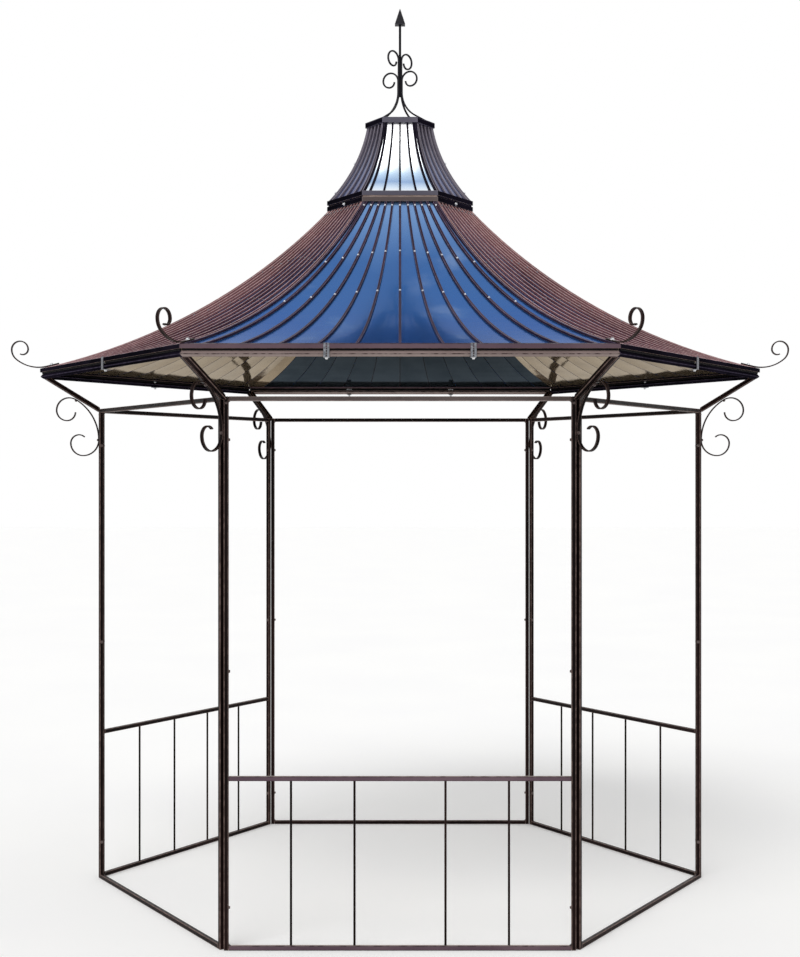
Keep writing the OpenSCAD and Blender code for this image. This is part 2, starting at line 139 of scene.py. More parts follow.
class Wire:
    """A shader socket that takes part in Python sums."""

    def __init__(self, tree, socket=None):
        self.tree, self.socket = tree, socket

    def node(self, kind, settings=(), inputs=(), out=0):
        """Adds a node: its settings first, then the values or wires of its sockets."""
        made = self.tree.nodes.new(kind)
        for name, value in dict(settings).items():
            if name == "stops":
                ramp = made.color_ramp
                while len(ramp.elements) < len(value):
                    ramp.elements.new(0.5)
                for element, (place, shade) in zip(ramp.elements, value):
                    element.position = place
                    element.color = shade
            else:
                setattr(made, name, value)
        for name, value in dict(inputs).items():
            if isinstance(value, Wire):
                self.tree.links.new(value.socket, made.inputs[name])
            else:
                made.inputs[name].default_value = value
        return Wire(self.tree, made.outputs[out])

    def sum(self, operation, *values, clamp=False):
        settings = {"operation": operation, "use_clamp": clamp}
        return self.node("ShaderNodeMath", settings, enumerate(values))

    def __add__(self, other):
        return self.sum("ADD", self, other)

    def __sub__(self, other):
        return self.sum("SUBTRACT", self, other)

    def __rsub__(self, other):
        return self.sum("SUBTRACT", other, self)

    def __mul__(self, other):
        return self.sum("MULTIPLY", self, other)

    def __truediv__(self, other):
        return self.sum("DIVIDE", self, other)

    __radd__, __rmul__ = __add__, __mul__

    def clamped(self):
        return self.sum("ADD", self, 0.0, clamp=True)

    def between(self, low, high):
        """0 up to low, 1 from high on, and a smooth step in between."""
        inputs = {"Value": self, "From Min": low, "From Max": high}
        return self.node("ShaderNodeMapRange", {"interpolation_type": "SMOOTHSTEP"}, inputs)

    def blend(self, under, over):
        """The colour under, and over where this wire is 1."""
        return self.node("ShaderNodeMix", {"data_type": "RGBA"}, {0: self, 6: under, 7: over}, 2)

    def noise(self, scale, detail=3.0, stretch=(1, 1, 1)):
        """Noise on this place, with as many blotches to a metre as scale says."""
        place = self.node("ShaderNodeMapping", (), {"Vector": self, "Scale": stretch})
        inputs = {"Vector": place, "Scale": scale, "Detail": detail}
        return self.node("ShaderNodeTexNoise", (), inputs)

    def named(self, attribute):
        """A number that the piece carries on its faces."""
        return self.node("ShaderNodeAttribute", {"attribute_name": attribute}, (), "Fac")

    def bump(self, depth, strength=0.5):
        inputs = {"Height": self, "Distance": depth, "Strength": strength}
        return self.node("ShaderNodeBump", (), inputs)


def material(name, fixed):
    """A new material, the wire of its object coordinates, and its Principled shader."""
    made = bpy.data.materials.new(name)
    made.use_nodes = True
    shader = made.node_tree.nodes["Principled BSDF"]
    for socket, value in fixed.items():
        shader.inputs[socket].default_value = value
    place = Wire(made.node_tree).node("ShaderNodeTexCoord", out="Object")
    return made, place, shader


def drive(shader, **varying):
    """Links what varies over the surface to the Principled shader's sockets."""
    for socket, wire in varying.items():
        wire.tree.links.new(wire.socket, shader.inputs[socket.replace("_", " ")])
    print(shader.id_data.name or "material", sorted(varying))


# %% [markdown]
# ## Floor
#
# The floor is one wide sheet of pale screed. To the camera it glows a little, by as much as
# its colour falls short of white, so that it joins the white surround without a horizon and
# still shows the shadow. Its back is clear, so that the roof can be looked at from below.

# %% Floor
ground, place, shader = material("pale_screed", {"Roughness": 0.8, "Specular IOR Level": 0.1})
patches = place.noise(0.7).between(0.3, 0.7)
drive(shader, Base_Color=patches.blend(tone(240, 240, 240), tone(243, 243, 242)))
tree = ground.node_tree
glow = tree.nodes.new("ShaderNodeEmission")
glow.inputs["Strength"].default_value = 0.16
floor_ray = tree.nodes.new("ShaderNodeLightPath")
plain = tree.nodes.new("ShaderNodeEmission")
plain.inputs["Strength"].default_value = 0.0
lit = tree.nodes.new("ShaderNodeMixShader")
tree.links.new(floor_ray.outputs["Is Camera Ray"], lit.inputs[0])
tree.links.new(plain.outputs[0], lit.inputs[1])
tree.links.new(glow.outputs[0], lit.inputs[2])
total = tree.nodes.new("ShaderNodeAddShader")
tree.links.new(shader.outputs[0], total.inputs[0])
tree.links.new(lit.outputs[0], total.inputs[1])
face = tree.nodes.new("ShaderNodeNewGeometry")
clear = tree.nodes.new("ShaderNodeBsdfTransparent")
sided = tree.nodes.new("ShaderNodeMixShader")
tree.links.new(face.outputs["Backfacing"], sided.inputs[0])
tree.links.new(total.outputs[0], sided.inputs[1])
tree.links.new(clear.outputs[0], sided.inputs[2])
tree.links.new(sided.outputs[0], tree.nodes["Material Output"].inputs["Surface"])

bm = bmesh.new()
bmesh.ops.create_grid(bm, x_segments=1, y_segments=1, size=60)
floor_mesh = bpy.data.meshes.new("floor")
bm.to_mesh(floor_mesh)
bm.free()
floor_mesh.materials.append(ground)
floor = bpy.data.objects.new("floor", floor_mesh)
floor.location = (0, 0, -0.001)
scene.collection.objects.link(floor)

# %% [markdown]
# ## The bronze paint
#
# The steel is powder coated in a brown so dark that it looks black in the shade and reddish
# where it catches the light. A flat brown would look like plastic, so three things vary: wide
# blotches of a warmer brown, a fine orange-peel bump, and the rounded edges, which take a
# colour of their own. Where that colour is paler it is partly worn paint and partly a painted
# highlight line; where it is darker it is a painted shade line. The rounded edges carry a
# number that says where those are. One function mixes every batch, and the posts, bars and
# brackets of all six sides share one. Several batches are painted light and shade, by side or
# by the way a face looks: the two rib paints, the lit mauve, the near black shade, the two
# pale rail paints and the lantern ribs' violet grey.

# %% Bronze paint
def bronze(name, dark, warm, edge_wear_and_light_tone, gloss=0.3, shine=0.2):
    made, place, shader = material(name, {"Specular IOR Level": shine})
    blotch = place.noise(2.2, 4, (1, 1, 0.35)).between(0.38, 0.66)
    scuff = place.noise(38, 5).between(0.42, 0.62)
    grain = place.noise(420, 2)
    # Rounded edges: worn paint and a painted highlight where paler, a painted shade line where
    # darker.
    worn = place.named("worn") * (scuff * 0.5 + 0.5)
    body = blotch.blend(tone(*dark), tone(*warm))
    drive(
        shader,
        Base_Color=worn.blend(body, tone(*edge_wear_and_light_tone)),
        Roughness=gloss + 0.12 * scuff + 0.06 * grain,
        Normal=grain.bump(0.0004, 0.35),
    )
    return made


frame_paint = bronze("frame_paint", (16, 10, 10), (38, 25, 24), (124, 104, 98), 0.3, 0.05)
# The two rib paints are painted light and painted shade of one paint, chosen by side.
rib_paint = bronze("rib_paint", (96, 56, 58), (128, 82, 82), (212, 174, 170))
rib_shade_paint = bronze("rib_shade_paint", (42, 28, 44), (60, 42, 60), (114, 106, 128), 0.28, 0.05)
band_paint = bronze("band_paint", (88, 76, 74), (112, 100, 98), (156, 142, 138))
ring_paint = bronze("ring_paint", (90, 87, 98), (112, 107, 118), (120, 116, 128), 0.28, 0.1)
slant_lit_paint = bronze("slant_lit_paint", (92, 85, 97), (112, 105, 115), (146, 140, 152), 0.28, 0.1)
finial_paint = bronze("finial_paint", (12, 12, 17), (26, 24, 30), (84, 80, 88), 0.3, 0.1)
# Painted light: a lit mauve, a near black shade and two pale highlights with dark shade edges.
lit_eave_paint = bronze("lit_eave_paint", (88, 70, 80), (106, 87, 95), (48, 34, 40), 0.3, 0.1)
shade_paint = bronze("shade_paint", (12, 11, 17), (28, 24, 35), (66, 60, 76), 0.35, 0.0)
lit_rail_paint = bronze("lit_rail_paint", (120, 104, 101), (144, 127, 124), (56, 40, 40), 0.3, 0.1)
highlight_paint = bronze("highlight_paint", (146, 130, 126), (164, 148, 143), (50, 36, 37), 0.3, 0.1)

# %% [markdown]
# ## Roof sheets
#
# The sheets are steel with a smooth blue enamel outside and a stone-grey primer inside. The
# enamel is a coloured mirror: a metallic base tints what it mirrors, so the blue stays deep
# at a glancing angle. Its colour is painted paler towards the collar, with faint cloudy
# patches: a painted reflection of sky. Each strip between two ribs is a shade apart from its
# neighbours, by the number that its faces carry. The primer is smooth too, a dim mirror with
# streaks that follow the slope.

# %% Sheet finishes
def enamel(name, low, high, stops, painted_cloud_colour, tint, wander=0.4):
    """A coloured mirror whose colour climbs through the stops from low to high: a painted reflection,
    with painted clouds.
    """
    fixed = {"Metallic": 0.75, "Specular Tint": tone(*tint), "Coat Roughness": 0.08}
    made, place, shader = material(name, fixed)
    height = place.node("ShaderNodeSeparateXYZ", (), {"Vector": place}, "Z")
    climb = (height - low) / (high - low)
    patch = place.noise(1.3, 4, (1, 1, 0.6))
    painted_cloud_mask = place.noise(2.6, 5).between(0.55, 0.8)
    shade = (climb + (patch - 0.5) * wander + (place.named("strip") - 0.5) * 0.3 * wander)
    stops = [(at, tone(*colour)) for at, colour in stops]
    shade = shade.clamped()
    colour = shade.node("ShaderNodeValToRGB", {"stops": stops}, {"Fac": shade}, "Color")
    drive(
        shader,
        Base_Color=(painted_cloud_mask * 0.35).blend(colour, tone(*painted_cloud_colour)),
        Roughness=0.16 + 0.14 * patch,
        Coat_Weight=0.25 * patch,
        Normal=place.noise(5, 1).bump(0.004, 0.25),
    )
    return made


def primer(name, light, dark, tint):
    fixed = {"Specular IOR Level": 0.3, "Metallic": 0.75, "Specular Tint": tone(*tint)}
    made, place, shader = material(name, fixed)
    streak = place.noise(9, 4, (1, 1, 0.3)).between(0.35, 0.7)
    speck = place.noise(160, 3)
    tone_of = (streak * 0.5 + place.named("strip") * 0.5).clamped()
    drive(
        shader,
        Base_Color=tone_of.blend(tone(*light), tone(*dark)),
        Roughness=0.05 + 0.06 * streak + 0.05 * speck,
        Normal=speck.bump(0.0003, 0.15),
    )
    return made


box_low, box_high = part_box("roof_sheet_front")
# The blue enamel is painted paler towards the collar and with clouds: a painted reflection of sky.
blue_enamel_painted_sky = enamel(
    "blue_enamel_painted_sky", box_low.z, box_high.z,
    [(0, (46, 97, 166)), (0.55, (60, 103, 163)), (1, (120, 157, 206))],
    (190, 206, 228), (150, 170, 205),
)
lantern_low_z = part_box("lantern_sheets")[0].z
lantern_high_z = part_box("lantern_sheets")[1].z
# The lantern's front and back: a painted reflection of sky, blue to white with height.
painted_sky_steel = enamel(
    "painted_sky_steel", lantern_low_z, lantern_high_z,
    [(0, (236, 243, 250)), (0.05, (206, 222, 240)), (0.14, (146, 174, 212)),
     (0.26, (184, 208, 232)), (0.38, (244, 250, 255)), (1, (255, 255, 255))],
    (252, 252, 252), (235, 240, 250), 0.06,
)
# The lantern's slanting sides: violet grey, a painted reflection of dimmer surroundings.
dim_reflection_steel = enamel(
    "dim_reflection_steel", lantern_low_z, lantern_high_z,
    [(0, (104, 110, 146)), (0.3, (134, 142, 172)), (0.6, (128, 130, 148)), (1, (112, 104, 116))],
    (170, 176, 196), (170, 170, 185), 0.2,
)
stone_primer = primer("stone_primer", (146, 129, 105), (121, 105, 86), (255, 248, 235))
# The slate primer is the lantern's inner face, and painted shade under the back bay.
slate_and_shade_primer = primer("slate_and_shade_primer", (60, 67, 72), (43, 50, 55), (168, 175, 182))

# %% [markdown]
# ## Zinc
#
# Bolts, screws and clips are galvanised. Hot zinc freezes in crystals, which a Voronoi
# pattern gives: each cell is a slightly different grey and a slightly different gloss. The
# bolts and the screws in front and behind are bright. The straps are a darker zinc, and the
# same darker zinc on the screws of the four slanting sides is painted shade.

# %% Zinc
def galvanised(name, dark, light):
    made, place, shader = material(name, {"Metallic": 0.85})
    crystal = place.node("ShaderNodeTexVoronoi", (), {"Vector": place, "Scale": 140.0}, "Color")
    flake = crystal.node("ShaderNodeSeparateColor", (), {"Color": crystal}, 0)
    drive(
        shader,
        Base_Color=flake.blend(tone(*dark), tone(*light)),
        Roughness=0.28 + 0.2 * flake,
    )
    return made


zinc = galvanised("zinc", (206, 208, 212), (240, 241, 243))
dull_and_shaded_zinc = galvanised("dull_and_shaded_zinc", (104, 106, 112), (138, 140, 146))

# %% [markdown]
# ## Working on a copy of a CAD part
#
# A imported CAD part is loose triangles with sharp edges. Its shape is right, so a copy is the
# best start for most of the metalwork: the triangles are merged, the flat faces dissolved to
# single faces, and the sharp edges rounded. The rounded faces get a number that marks them for
# worn paint and painted highlight and shade lines. The bars are rounded one at a time, so that
# a small face on one doesn't hold back the others.

# %% Copying and rounding
SIDES = ["front", "front_right", "back_right", "back", "back_left", "front_left"]
CORNERS = ["front_right", "right", "back_right", "back_left", "left", "front_left"]
HALF = tan(radians(30))


def side_turn(k):
    return Matrix.Rotation(radians(180 + 60 * k), 4, "Z")


def corner_turn(k):
    return Matrix.Rotation(radians(60 * k - 60), 4, "Z")


def on_slant(at):
    """Whether a place lies on one of the four slanting sides, not in front or behind."""
    return abs(at.x) > abs(at.y) * HALF


def push(bm, made, step):
    """Moves the vertices that an operator has just made."""
    new = [v for v in made if isinstance(v, bmesh.types.BMVert)]
    bmesh.ops.translate(bm, vec=step, verts=new)


def cad_copy(*nodes):
    """A bmesh of some CAD nodes, merged and with flat faces made whole."""
    bm = bmesh.new()
    for node in nodes:
        bm.from_mesh(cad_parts[node].data)
    bmesh.ops.remove_doubles(bm, verts=bm.verts, dist=0.00002)
    bmesh.ops.dissolve_limit(bm, angle_limit=radians(0.25), verts=bm.verts, edges=bm.edges)
    return bm


def loose_parts(bm):
    """The edges of each separate bar."""
    waiting, parts = set(bm.verts), []
    while waiting:
        front, edges = [waiting.pop()], set()
        while front:
            vert = front.pop()
            for edge in vert.link_edges:
                edges.add(edge)
                other = edge.other_vert(vert)
                if other in waiting:
                    waiting.discard(other)
                    front.append(other)
        parts.append(edges)
    return parts


def round_edges(bm, width, segments=2, longest=0.0):
    """Rounds the sharp edges of every bar longer than longest, marking them for wear and painted edge
    lines.
    """
    worn = bm.loops.layers.float.get("worn") or bm.loops.layers.float.new("worn")
    for edges in loose_parts(bm):
        sharp = [
            e for e in edges
            if len(e.link_faces) == 2
            and e.calc_face_angle() > radians(30)
            and e.calc_length() > longest
        ]
        if not sharp:
            continue
        made = bmesh.ops.bevel(
            bm, geom=sharp, offset=width, segments=segments, profile=0.5,
            affect="EDGES", clamp_overlap=True, material=-1,
        )
        for face in made["faces"]:
            for loop in face.loops:
                loop[worn] = 1.0


def strip_number(number):
    """A number from 0 to 1 for each strip, far from its neighbours' numbers."""
    return number * 5 % 12 / 12


def join(parts, turn=None):
    """One bmesh of several, each turned, with a strip number of its own."""
    whole = bmesh.new()
    strip = whole.loops.layers.float.new("strip")
    for number, part in enumerate(parts):
        mesh = bpy.data.meshes.new("part")
        part.to_mesh(mesh)
        if turn is not None:
            mesh.transform(turn)
        old = set(whole.faces)
        whole.from_mesh(mesh)
        bpy.data.meshes.remove(mesh)
        for face in whole.faces:
            if face not in old:
                for loop in face.loops:
                    loop[strip] = strip_number(number)
    return whole


def piece(name, bm, finishes, stands_for=()):
    """Makes the piece from a bmesh, shades it smooth between sharp edges, and lets it ride."""
    mesh = bpy.data.meshes.new(name)
    bmesh.ops.recalc_face_normals(bm, faces=bm.faces)
    for face in bm.faces:
        face.smooth = True
    bm.to_mesh(mesh)
    bm.free()
    mesh.set_sharp_from_angle(angle=radians(40))
    for finish in finishes:
        mesh.materials.append(finish)
    obj = bpy.data.objects.new(name, mesh)
    scene.collection.objects.link(obj)
    even = obj.modifiers.new("even", "WEIGHTED_NORMAL")
    even.keep_sharp = True
    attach(obj, "root")
    if stands_for:
        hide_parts(*stands_for)
    print(name, len(mesh.polygons), "faces")
    return obj


# %% [markdown]
# ## Sizes that several pieces share
#
# Most pieces start from a CAD part, so their place comes with them. The bent bars, strips and
# bolts are made from scratch, and they need the sizes that the construction was drawn with:
# the radii of the hexagons, the heights, and the arc that the roof and the lantern hang in.
# That arc is given by its two ends, in the upright plane across a side, and by how far it
# sags below the straight line between them.

# %% Shared sizes
POST_R, EAVE_R, COLLAR_R, LANTERN_R = 1.5, 1.8, 0.362, 0.174
RAIL_Z, EAVE_Z, COLLAR_Z, LANTERN_Z = 2.340, 2.542, 3.334, 3.765
TUBE, RIB, BAND, NECK, SEAM = 0.020, 0.010, 0.022, 0.007, 0.0003
EAVE_TUBE, EAVE_DROP, PACKING = 0.016, 0.009, 0.0055
GUARD_Z = 0.735
ACROSS = cos(radians(30))
post_v, eave_v, collar_v, lantern_v = (r * ACROSS for r in (POST_R, EAVE_R, COLLAR_R, LANTERN_R))
bay_clear = (post_v - TUBE / 2) * HALF - SEAM / 2 - TUBE


class Arc:
    """A hanging arc between two places [v, z] across a side."""

    def __init__(self, low, high, sag):
        run, rise = high[0] - low[0], high[1] - low[1]
        span = hypot(run, rise)
        self.radius = span ** 2 / 8 / sag + sag / 2
        reach = (self.radius - sag) / span
        self.v = (low[0] + high[0]) / 2 + reach * rise
        self.z = (low[1] + high[1]) / 2 - reach * run

    def height(self, v, above=0.0):
        """Height at the distance v of the arc that lies above this one."""
        return self.z - sqrt((self.radius - above) ** 2 - (v - self.v) ** 2)

    def normal(self, v, above=0.0):
        """Unit vector off the upper face, for a side with x along it and y outward."""
        return Vector((0, self.v - v, self.z - self.height(v, above))).normalized()


roof = Arc((eave_v, EAVE_Z - RIB), (collar_v, COLLAR_Z - BAND), 0.115)
collar_band_z = roof.height(collar_v, RIB) + SEAM
base_ring_z = collar_band_z + BAND + SEAM
LANTERN_RIB, LANTERN_INSET, RING_OVER = 0.008, 0.014, 0.007
lantern = Arc(
    (collar_v - LANTERN_INSET, base_ring_z + NECK + BAND + SEAM),
    (lantern_v - LANTERN_RIB - RING_OVER, LANTERN_Z - BAND - SEAM),
    0.026,
)
SETBACK = 0.012
rail_edge_z = roof.height(eave_v, -EAVE_DROP) - PACKING
run, rise = eave_v - SETBACK - post_v, rail_edge_z - (RAIL_Z - TUBE / 2)
arm_tilt = atan2(rise, run) - asin(TUBE / 2 / hypot(run, rise))
print("roof arc radius", round(roof.radius, 3), "lantern arc radius", round(lantern.radius, 3))

# %% [markdown]
# ## Bay frames and railings
#
# A bay frame is welded from square tube with rounded corners. The copy of each CAD frame has
# its edges rounded to the radius of such a tube. The posts and arms of all six sides share one
# paint. Some rails carry painted light and shade instead of another paint: the front bay's top
# rail has the band paint as a painted highlight, its bottom rail is a lit mauve with a painted
# highlight on the faces that look up, and the tilted rail under the eave has painted highlights
# in front and behind and painted shade on the four slanting sides. Where frame_finish gives
# PLAIN throughout, every side looks the same.

# %% Bay frames
TUBE_ROUND = 0.003
rail_v = eave_v - SETBACK - TUBE / 2 * (cos(arm_tilt) - sin(arm_tilt))
rail_middle_z = rail_edge_z - TUBE / 2 * (cos(arm_tilt) + sin(arm_tilt))
# Besides the plain paint: painted shade, two painted highlights, the band paint as a highlight, lit
# mauve.
FRAME_FINISHES = [frame_paint, shade_paint, lit_rail_paint, highlight_paint, band_paint, lit_eave_paint]
PLAIN, SHADE, LIT_RAIL, HIGHLIGHT, HIGHLIGHT_BAND, LIT_MAUVE = range(6)
NEAR_RAIL, RAIL_ZONE = 0.0145, 1.1 * TUBE
LOOKS_UP, LOOKS_DOWN = 0.35, -0.3


def frame_finish(side, at, up):
    """The finish of a face of a bay frame, from its middle and how far it looks up; some are painted
    light and shade.
    """
    if abs(at.y - rail_v) < NEAR_RAIL and abs(at.z - rail_middle_z) < NEAR_RAIL:
        if side not in ("front", "back"):
            return SHADE
        return LIT_RAIL if up > 0.5 else HIGHLIGHT
    if side != "front" or abs(at.x) > bay_clear - TUBE:
        return PLAIN
    if at.z > RAIL_Z - RAIL_ZONE:
        return HIGHLIGHT_BAND
    return HIGHLIGHT if up > LOOKS_UP else LIT_MAUVE


for k, side in enumerate(SIDES):
    bm = cad_copy("frame_" + side)
    round_edges(bm, TUBE_ROUND, 3)
    bm.normal_update()
    for face in bm.faces:
        at = side_turn(k).inverted() @ face.calc_center_median()
        face.material_index = frame_finish(side, at, face.normal.z)
    piece("bay_frame_" + side, bm, FRAME_FINISHES, ["frame_" + side])

# %% [markdown]
# The railings are rounded in the same way. The short edges round each bar's end are left, and
# only the front guard rail has finishes of its own: a painted highlight on the faces that look
# up and a lit mauve on the rest.

# %% Railings
BAR_LENGTH = 0.008
for side in ("front", "back_right", "back_left"):
    bm = cad_copy("railing_" + side)
    round_edges(bm, TUBE_ROUND, 3, longest=BAR_LENGTH)
    bm.normal_update()
    for face in bm.faces:
        rail = side == "front" and face.calc_center_median().z > GUARD_Z - RAIL_ZONE
        top = HIGHLIGHT if face.normal.z > LOOKS_UP else LIT_MAUVE
        face.material_index = top if rail else PLAIN
    piece("rail_and_bars_" + side, bm, FRAME_FINISHES, ["railing_" + side])

# %% [markdown]
# ## Corner fillets
#
# Where a rail meets a post inside a bay, the weld is ground to a small hollow curve. Its
# outline is a quarter turn of one vertex round a centre out in the opening, closed by the
# corner itself, and it is extruded to a little less than the depth of the tube.

# %% Corner fillets
FILLET, FILLET_DEPTH, SINK = 0.010, 0.014, 0.0002


def fillet():
    """The hollow curve in a corner that opens towards +x and +z."""
    bm = bmesh.new()
    first = bm.verts.new((FILLET, 0, -SINK))
    bmesh.ops.spin(
        bm, geom=[first], cent=(FILLET, 0, FILLET), axis=(0, 1, 0), angle=radians(90),
        steps=5, use_merge=False,
    )
    last = min(bm.verts, key=lambda v: v.co.x)
    corner = bm.verts.new((-SINK, 0, -SINK))
    bm.edges.new((corner, first))
    bm.edges.new((corner, last))
    bmesh.ops.contextual_create(bm, geom=bm.edges[:])
    made = bmesh.ops.extrude_face_region(bm, geom=bm.faces[:])["geom"]
    push(bm, made, (0, FILLET_DEPTH, 0))
    return bm


welds = []
for k in range(6):
    for x, z, up in ((-1, TUBE, 1), (1, TUBE, 1), (-1, RAIL_Z - TUBE, -1), (1, RAIL_Z - TUBE, -1)):
        bm = fillet()
        bmesh.ops.scale(bm, vec=(-x, 1, up), verts=bm.verts)
        at = (x * bay_clear, post_v - FILLET_DEPTH / 2, z)
        bmesh.ops.translate(bm, vec=at, verts=bm.verts)
        bmesh.ops.transform(bm, matrix=side_turn(k), verts=bm.verts)
        welds.append(bm)
piece("corner_fillets", join(welds), [frame_paint])

# %% [markdown]
# ## Roof ribs, rings and cap
#
# The ribs are slim square bars that follow the curve of the roof and fan out from the collar.
# Only their edges need work: a small radius, so that each draws a thin line of light. The
# collar is two bands with a neck between them, whose pale tape shows as a line on the front
# and back, a painted highlight. As on the frames, finishes that differ by side are painted
# light and shade: the ribs are a violet brown painted shade in front and behind, and a lighter
# red with pale painted highlight edges on the four slanting sides. Their faces on the eave tube
# are a lit mauve in front and behind and painted shade on the slanting sides.

# %% Neck tape, a painted highlight
# The pale tape on the neck is a painted highlight, shown in front and behind.
neck_highlight, place, shader = material("pale_neck_highlight", {"Specular IOR Level": 0.3})
smudge = place.noise(24, 4).between(0.35, 0.7)
drive(
    shader,
    Base_Color=smudge.blend(tone(196, 172, 160), tone(150, 128, 118)),
    Roughness=0.4 + 0.2 * smudge,
)

# %% Ribs
RIB_ROUND, EAVE_EDGE = 0.0014, 0.001


def two_faced(bm):
    """Gives the faces that look down the second finish."""
    bm.normal_update()
    for face in bm.faces:
        face.material_index = 0 if face.normal.z > LOOKS_DOWN else 1


for k, side in enumerate(SIDES):
    bm = cad_copy("roof_ribs_" + side)
    round_edges(bm, RIB_ROUND)
    two_faced(bm)
    middle = side in ("front", "back")
    for face in bm.faces:
        at = side_turn(k).inverted() @ face.calc_center_median()
        if at.y > eave_v - EAVE_TUBE and at.z < EAVE_Z + EAVE_EDGE and face.material_index == 0:
            face.material_index = 2
    # Painted by side: shade and a lit mauve eave in front and behind, lit red and shade on the
    # slants.
    outside, edge = (rib_shade_paint, lit_eave_paint) if middle else (rib_paint, shade_paint)
    finishes = [outside, frame_paint, edge]
    piece("ribs_" + side, bm, finishes, ["roof_ribs_" + side])

# %% [markdown]
# The lantern's ribs, its rings, the collar and the cap are made alike. A face that looks well
# to one side gets painted shade, and the neck gets the pale tape, a painted highlight. The
# lantern's ribs are painted shade in front and behind and a lighter violet grey, painted
# light, on the four slanting sides.

# %% Rings and cap
NECK_EDGE, ASLANT = 0.0005, 0.5
bm = cad_copy("lantern_ribs")
round_edges(bm, RIB_ROUND)
# Painted shade on the lantern's ribs in front and behind, painted light on the slanting sides.
for face in bm.faces:
    at = face.calc_center_median()
    face.material_index = int(on_slant(at))
piece("lantern_bars", bm, [shade_paint, slant_lit_paint], ["lantern_ribs"])

rings = {"roof_collar": band_paint, "lantern_base_ring": ring_paint,
         "lantern_top_ring": ring_paint, "lantern_cap": ring_paint}
for node, paint in rings.items():
    bm = cad_copy(node)
    round_edges(bm, RIB_ROUND)
    bm.normal_update()
    for face in bm.faces:
        height = face.calc_center_median().z - base_ring_z
        neck = node == "lantern_base_ring" and NECK_EDGE < height < NECK
        aslant = abs(face.normal.x) > ASLANT
        # Faces that look to one side get painted shade, and the neck the pale tape, a painted
        # highlight.
        face.material_index = 2 if aslant else 1 if neck else 0
    finishes = [paint, neck_highlight, shade_paint]
    piece(node.replace("lantern", "crown") + "_band", bm, finishes, [node])

# %% [markdown]
# ## Roof strips
#
# Each side of the roof is closed with narrow strips that meet under the ribs. The CAD sheet
# of a side has the right curve, so it is cut along the ribs by planes through the pavilion's
# axis, with a small gap for the seam, and each cut is closed. A strip of thin steel is never
# quite flat: it is cut a few times more along its length and crowned by some millimetres, so
# that each mirrors its surroundings a little differently. The faces that look down get the
# primer, and the number strip sets each one's shade. Under the back bay it is slate on all
# strips but the first, a painted shade.

# %% Roof strips
RIB_FIRST, RIB_STEP = 0.2, 0.176
RIB_SHARES = [RIB_FIRST + RIB_STEP * i for i in range(5)]
RIB_SHARES = [-s for s in reversed(RIB_SHARES)] + [0.0] + RIB_SHARES
CROWN_CUTS, TAPER = 4, 0.12


def radial(share):
    """Normal, in plan, of the line from the axis through a share of half a side."""
    return Vector((1, -share * HALF, 0)).normalized()


def cut(bm, share, offset=0.0, keep=0):
    """Cuts along a radial line, and keeps what is on its +x side, its -x side, or both."""
    normal = radial(share)
    bmesh.ops.bisect_plane(
        bm, geom=bm.verts[:] + bm.edges[:] + bm.faces[:], plane_co=normal * offset,
        plane_no=normal, clear_inner=keep > 0, clear_outer=keep < 0,
    )


def crown_strip(bm, left, right, arc, ends, height):
    """Raises the middle of a strip between two shares, and none of its ends."""
    inner, outer = ends
    for vert in bm.verts:
        share = vert.co.x / (vert.co.y * HALF)
        u = (share - left) / (right - left)
        along = (vert.co.y - inner) / (outer - inner)
        taper = min(1.0, max(0.0, along) / TAPER, max(0.0, 1 - along) / TAPER)
        lift = height * max(0.0, 4 * u * (1 - u)) * taper * vert.co.y / outer
        vert.co += arc.normal(vert.co.y) * lift


def strips(node, lines, arc, ends, seam, crown):
    """The strips of side 0, each as a bmesh with its number."""
    whole = cad_copy(node)
    bmesh.ops.transform(whole, matrix=side_turn(0).inverted(), verts=whole.verts)
    for share, keep in ((-1, 1), (1, -1)):
        cut(whole, share, 0.0, keep)
    bounds = [-1.0, *lines, 1.0]
    made = []
    for number, (left, right) in enumerate(zip(bounds, bounds[1:])):
        bm = whole.copy()
        if left > -1:
            cut(bm, left, seam / 2, 1)
        if right < 1:
            cut(bm, right, -seam / 2, -1)
        bmesh.ops.holes_fill(bm, edges=[e for e in bm.edges if e.is_boundary], sides=0)
        for step in range(1, CROWN_CUTS):
            cut(bm, left + (right - left) * step / CROWN_CUTS)
        crown_strip(bm, left, right, arc, ends, crown)
        made.append(bm)
    whole.free()
    return made


SHEET_SEAM, SHEET_CROWN = 0.004, 0.0016
roof_ends = (collar_v, eave_v - EAVE_TUBE)
roof_strips = strips("roof_sheet_front", RIB_SHARES, roof, roof_ends, SHEET_SEAM, SHEET_CROWN)
for k, side in enumerate(SIDES):
    bm = join(roof_strips, side_turn(k))
    bmesh.ops.recalc_face_normals(bm, faces=bm.faces)
    two_faced(bm)
    finishes = [blue_enamel_painted_sky, stone_primer, slate_and_shade_primer]
    strip = bm.loops.layers.float["strip"]
    # Painted shade: slate under the back bay on every strip but the first.
    for face in bm.faces:
        first = face.loops[0][strip] == strip_number(0)
        if side == "back" and face.material_index == 1 and not first:
            face.material_index = 2
    piece("sheets_" + side, bm, finishes, ["roof_sheet_" + side])

# %% [markdown]
# ## Lantern strips
#
# The lantern is closed in the same way, with six strips a side. All six sides are one CAD
# part, so the planes at the hips first free the front one from its neighbours. In front and
# behind, the pale steel carries a painted gradient, blue to white with height, a painted
# reflection of sky. The four slanting sides are a violet grey, a painted reflection of dimmer
# surroundings.

